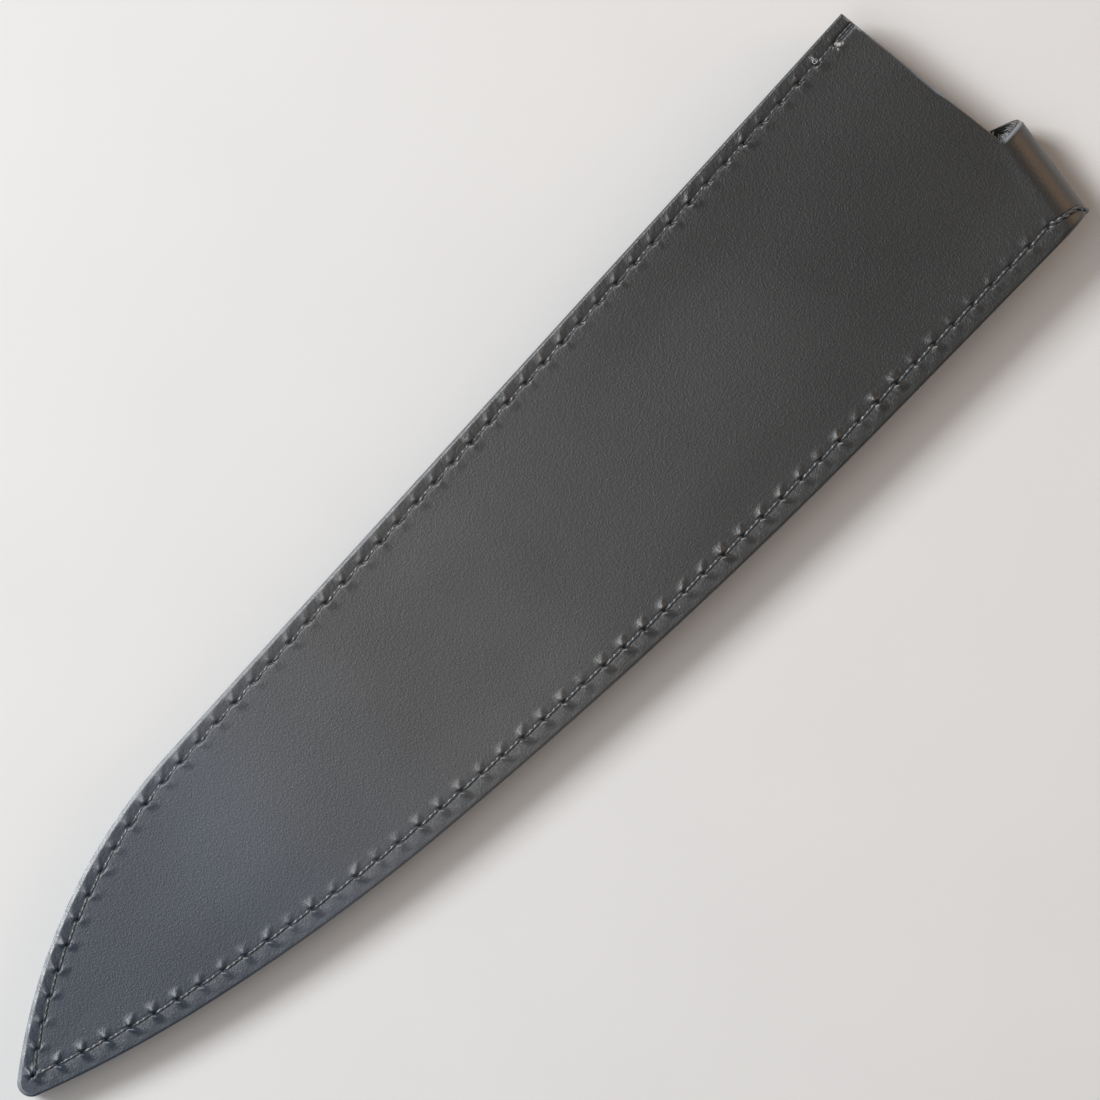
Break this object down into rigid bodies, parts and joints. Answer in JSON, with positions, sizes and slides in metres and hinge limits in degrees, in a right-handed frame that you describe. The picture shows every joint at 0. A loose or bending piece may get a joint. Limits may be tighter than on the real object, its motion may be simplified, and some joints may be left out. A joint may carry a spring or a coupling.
{
  "type": "knife blade guard",
  "caption": "Flat leather guard for a chef's knife blade, sewn over welts, with a snap flap that turns round the mouth.",
  "frame": {"origin": "middle of the object's box in length and width, at the height of its lowest point, the snap's cap", "axes": "+X along the length towards the mouth, +Y towards the spine side, +Z out of the front panel"},
  "size_m": [0.2562, 0.0583, 0.0133],
  "materials": {
    "front_leather": "smooth fine grain, soft sheen",
    "back_leather": "smooth fine grain, soft sheen",
    "flap_leather": "smooth outside, raw inside",
    "welt_leather": "raw cut leather",
    "seam_thread": "waxed thread",
    "snap_metal": "satin"
  },
  "bodies": {
    "sheath": {"front_panel": "front_leather", "back_panel": "back_leather", "spine_welt_front": "welt_leather", "spine_welt_back": "welt_leather", "edge_welt_front": "welt_leather", "edge_welt_back": "welt_leather", "needle_thread": "seam_thread", "bobbin_thread": "seam_thread", "snap_stud": "snap_metal", "snap_post": "snap_metal", "post_cover": "welt_leather"},
    "flap": {"closure_flap": "flap_leather", "snap_cap": "snap_metal", "snap_socket": "snap_metal", "snap_spring": "snap_metal"}
  },
  "joints": [
    {"name": "flap_open", "type": "hinge", "parent": "sheath", "child": "flap", "pos_m": [0.12183, -0.00845, 0.01345], "axis": [-0.1977, -0.9803, 0], "range_deg": [0, 170]}
  ]
}
